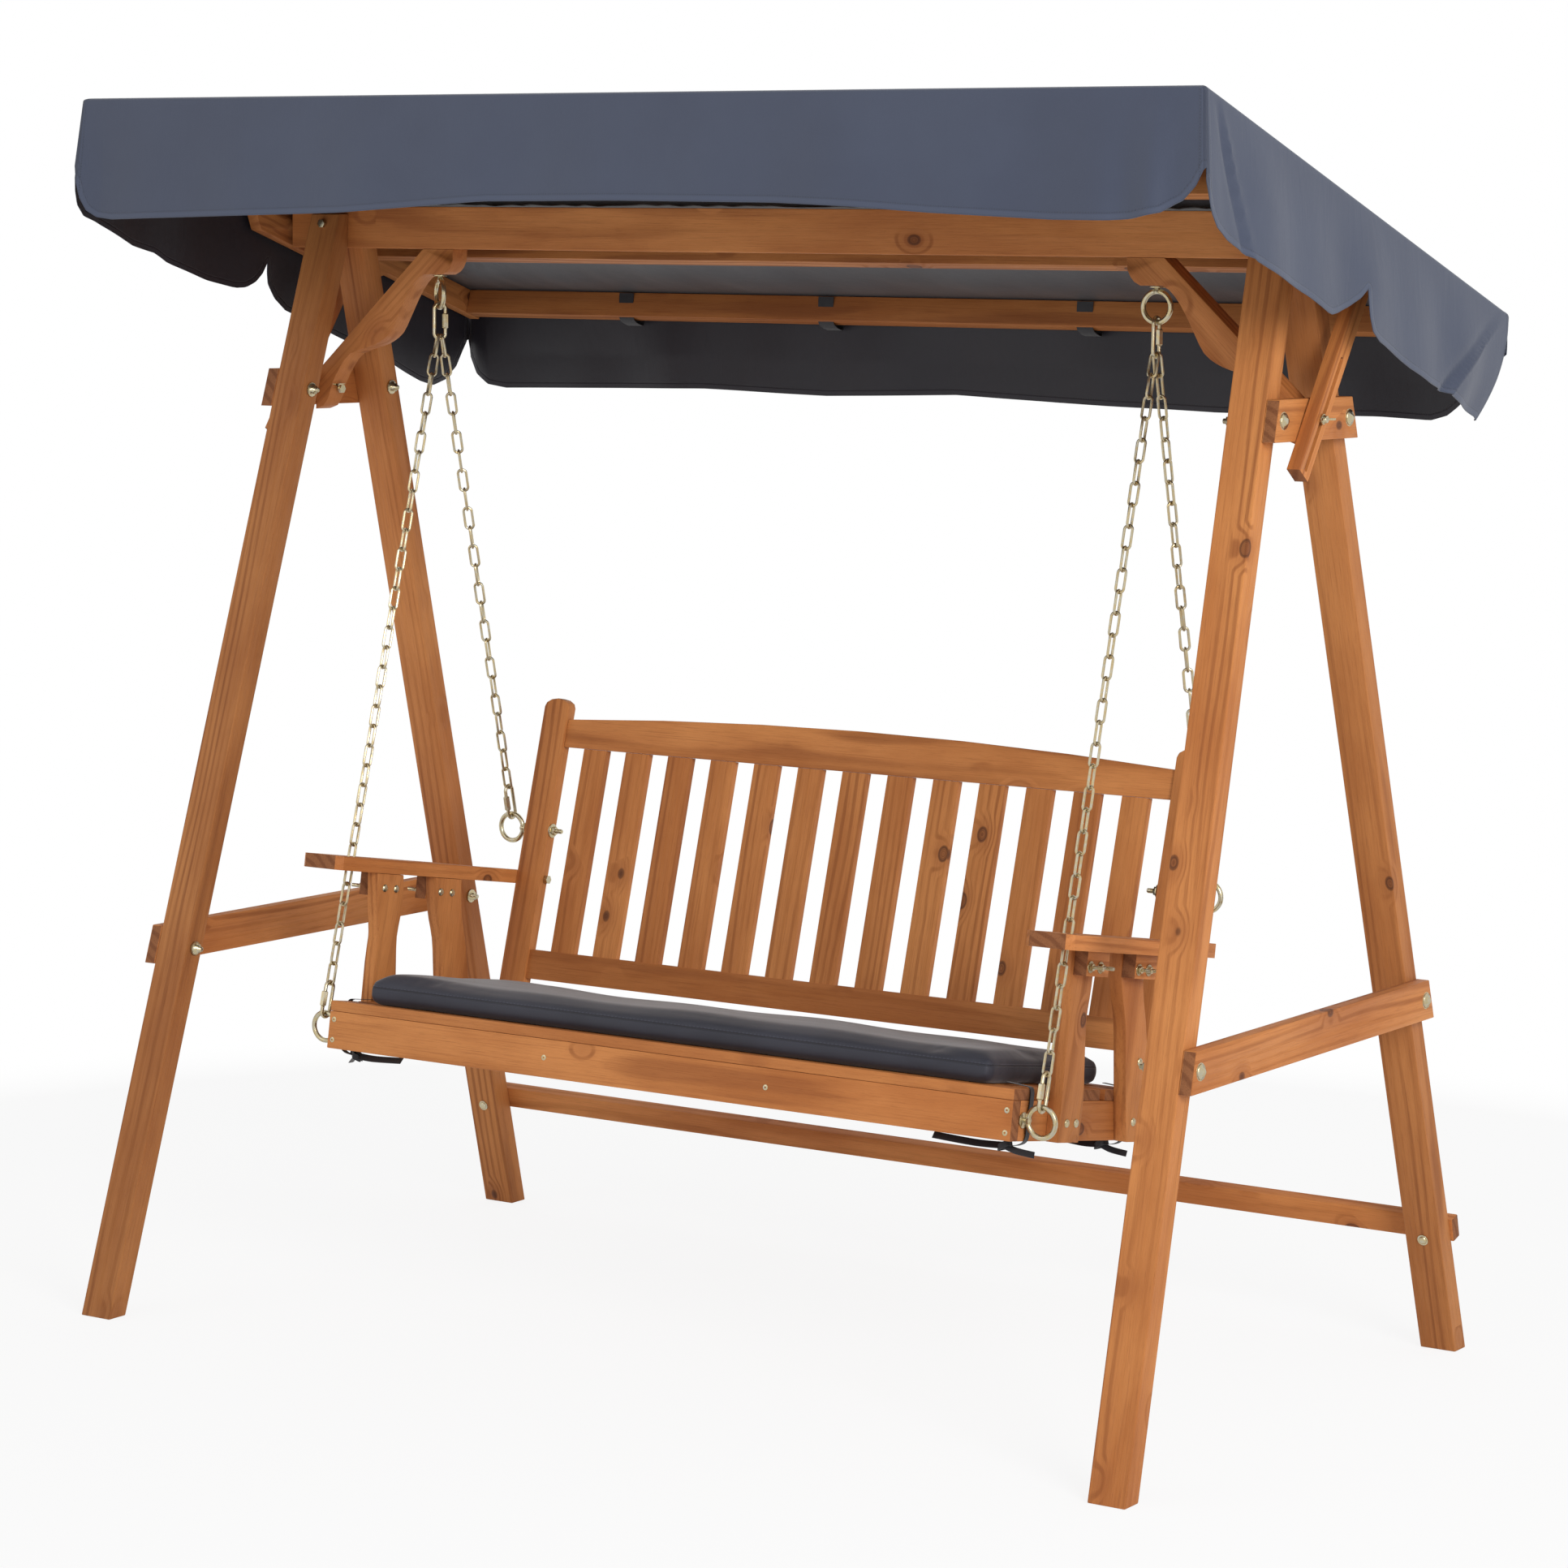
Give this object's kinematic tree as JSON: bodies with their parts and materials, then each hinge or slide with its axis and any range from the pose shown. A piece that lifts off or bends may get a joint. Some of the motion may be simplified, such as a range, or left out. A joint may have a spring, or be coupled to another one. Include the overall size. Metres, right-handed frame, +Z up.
{
  "type": "canopy swing bench",
  "caption": "Timber swing bench with a slatted back and cushion, hung by chains from a splayed A-frame stand under a tilting cloth canopy.",
  "frame": {"origin": "on the ground, midway between the four feet", "axes": "+Z up, +X to the right end along the beam, -Y to the front where the sitter's feet are"},
  "size_m": [2.024, 1.1252, 1.9532],
  "materials": {
    "stand_timber": "brushed stained pine",
    "bench_timber": "brushed stained pine",
    "roof_timber": "stained pine in the canopy's shade",
    "strut_timber": "brushed stained pine",
    "chain_zinc": "yellow zinc plated",
    "bolt_zinc": "yellow zinc plated",
    "canopy_cloth": "woven polyester",
    "cushion_cloth": "woven polyester"
  },
  "bodies": {
    "stand": {"apex_bolt_left": "bolt_zinc", "apex_bolt_right": "bolt_zinc", "brace_left": "stand_timber", "brace_right": "stand_timber", "hanging_eye_left": "bolt_zinc", "hanging_eye_right": "bolt_zinc", "leg_front_left": "stand_timber", "leg_front_right": "stand_timber", "leg_rear_left": "stand_timber", "leg_rear_right": "stand_timber", "side_rail_left": "stand_timber", "side_rail_right": "stand_timber", "stretcher": "stand_timber", "top_beam": "stand_timber", "upper_plate_left": "stand_timber", "upper_plate_right": "stand_timber", "wing_bolt_left": "bolt_zinc", "wing_bolt_right": "bolt_zinc"},
    "bench": {"arm_support_front_left": "bench_timber", "arm_support_front_right": "bench_timber", "arm_support_rear_left": "bench_timber", "arm_support_rear_right": "bench_timber", "armrest_left": "bench_timber", "armrest_right": "bench_timber", "back_lattice": "bench_timber", "back_post_left": "bench_timber", "back_post_right": "bench_timber", "chain_front_left": "chain_zinc", "chain_front_right": "chain_zinc", "chain_rear_left": "chain_zinc", "chain_rear_right": "chain_zinc", "front_board": "bench_timber", "rear_board": "bench_timber", "ring_bolt_front_left": "bolt_zinc", "ring_bolt_front_right": "bolt_zinc", "ring_bolt_rear_left": "bolt_zinc", "ring_bolt_rear_right": "bolt_zinc", "seat_cushion": "cushion_cloth", "seat_slat_1": "bench_timber", "seat_slat_2": "bench_timber", "seat_slat_3": "bench_timber", "seat_slat_4": "bench_timber", "seat_slat_5": "bench_timber", "seat_slat_6": "bench_timber", "side_board_left": "bench_timber", "side_board_right": "bench_timber", "top_back_rail": "bench_timber", "top_link_left": "chain_zinc", "top_link_right": "chain_zinc"},
    "canopy": {"canopy_cover": "canopy_cloth", "roof_cross_rail_1": "roof_timber", "roof_cross_rail_2": "roof_timber", "roof_cross_rail_3": "roof_timber", "roof_cross_rail_4": "roof_timber", "roof_side_rail_left": "roof_timber", "roof_side_rail_right": "roof_timber"},
    "strut_left": {"tilt_strut_left": "strut_timber"},
    "strut_right": {"tilt_strut_right": "strut_timber"}
  },
  "joints": [
    {"name": "bench_swing", "type": "hinge", "parent": "stand", "child": "bench", "pos_m": [0, 0, 1.62472], "axis": [1, 0, 0], "range_deg": [-25, 25]},
    {"name": "canopy_tilt", "type": "hinge", "parent": "stand", "child": "canopy", "pos_m": [0, 0, 1.755], "axis": [1, 0, 0], "range_deg": [-12, 14]},
    {"name": "strut_left_pivot", "type": "hinge", "parent": "canopy", "child": "strut_left", "pos_m": [-0.948, 0.135, 1.73], "axis": [1, 0, 0], "range_deg": [-11.5, 10]},
    {"name": "strut_right_pivot", "type": "hinge", "parent": "canopy", "child": "strut_right", "pos_m": [0.948, 0.135, 1.73], "axis": [1, 0, 0], "range_deg": [-11.5, 10]}
  ],
  "couplings": [
    {"joint": "strut_left_pivot", "follows": "canopy_tilt", "ratio": -0.805},
    {"joint": "strut_right_pivot", "follows": "canopy_tilt", "ratio": -0.805}
  ]
}
